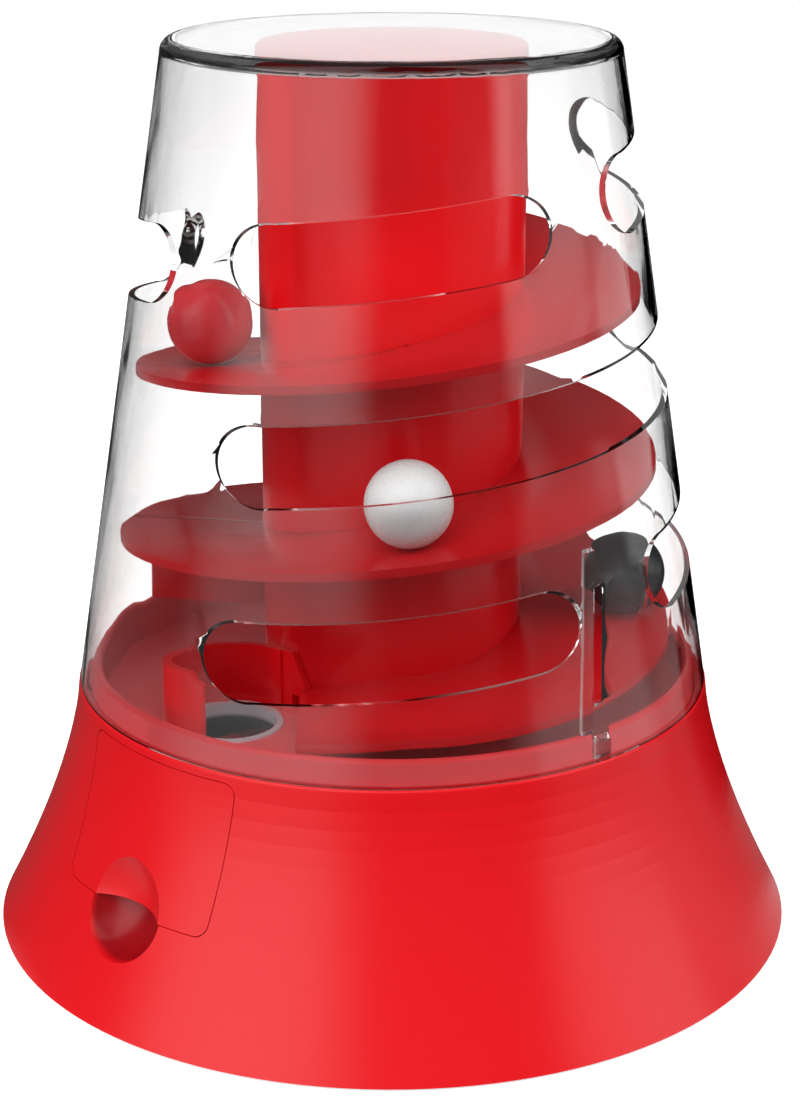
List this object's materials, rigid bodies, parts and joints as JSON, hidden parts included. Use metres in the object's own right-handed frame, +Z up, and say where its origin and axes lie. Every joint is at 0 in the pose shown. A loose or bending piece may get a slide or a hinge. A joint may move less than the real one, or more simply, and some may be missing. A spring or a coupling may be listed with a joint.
{
  "type": "tower ball track toy",
  "caption": "Cat ball track toy: flared red base with a pull-out drawer, a column with a spiral ball track, and a clear conical cover with long paw slots.",
  "frame": {"origin": "on the floor, under the column's axis", "axes": "+Z up along the column, -Y the front, +X to the right seen from the front; the drawer faces -X -Y"},
  "size_m": [0.2491, 0.2492, 0.272],
  "materials": {
    "red_plastic": "moulded glossy red plastic",
    "black_plastic": "moulded black plastic with a fine grain",
    "foot_rubber": "matt black rubber",
    "screw_steel": "zinc-plated steel",
    "smoke_plastic": "glossy smoke-grey plastic",
    "clear_plastic": "clear moulded plastic",
    "ball_red_plastic": "glossy dark red plastic with a moulded seam",
    "ball_white_plastic": "glossy white plastic with a moulded seam",
    "ball_black_plastic": "glossy black plastic with a moulded seam"
  },
  "bodies": {
    "base": {"base_skirt": "red_plastic", "base_plate": "black_plastic", "rubber_feet": "foot_rubber", "plate_screws": "screw_steel", "deck_tray": "red_plastic", "drop_ring": "smoke_plastic", "hole_hood": "red_plastic", "column_tube": "red_plastic", "column_cap": "red_plastic", "column_screws": "screw_steel", "track_upper": "red_plastic", "track_middle": "red_plastic", "track_lower": "red_plastic", "drawer_rail_left": "red_plastic", "drawer_rail_right": "red_plastic"},
    "drawer": {"drawer_front": "red_plastic", "drawer_tray": "red_plastic", "drawer_screws": "screw_steel"},
    "cover": {"clear_cover": "clear_plastic"},
    "ball_red": {"ball_red": "ball_red_plastic"},
    "ball_white": {"ball_white": "ball_white_plastic"},
    "ball_black": {"ball_black": "ball_black_plastic"}
  },
  "joints": [
    {"name": "cover_lift", "type": "slide", "parent": "base", "child": "cover", "axis": [0, 0, 1], "range_m": [0, 0.2]},
    {"name": "drawer_slide", "type": "slide", "parent": "base", "child": "drawer", "axis": [-0.7071, -0.7071, 0], "range_m": [0, 0.049]},
    {"name": "ball_red_roll", "type": "hinge", "parent": "base", "child": "ball_red", "pos_m": [0.00118, 0.00036, 0.19141], "axis": [-0.0431, 0.1411, 0.9891], "range_deg": [-25, 25]},
    {"name": "ball_white_roll", "type": "hinge", "parent": "base", "child": "ball_white", "pos_m": [-0.00007, 0.00104, 0.15065], "axis": [-0.1254, -0.0088, 0.9921], "range_deg": [-25, 25]},
    {"name": "ball_black_roll", "type": "hinge", "parent": "base", "child": "ball_black", "pos_m": [-0.00095, 0.00008, 0.11049], "axis": [-0.01, -0.1144, 0.9934], "range_deg": [-25, 25]}
  ]
}
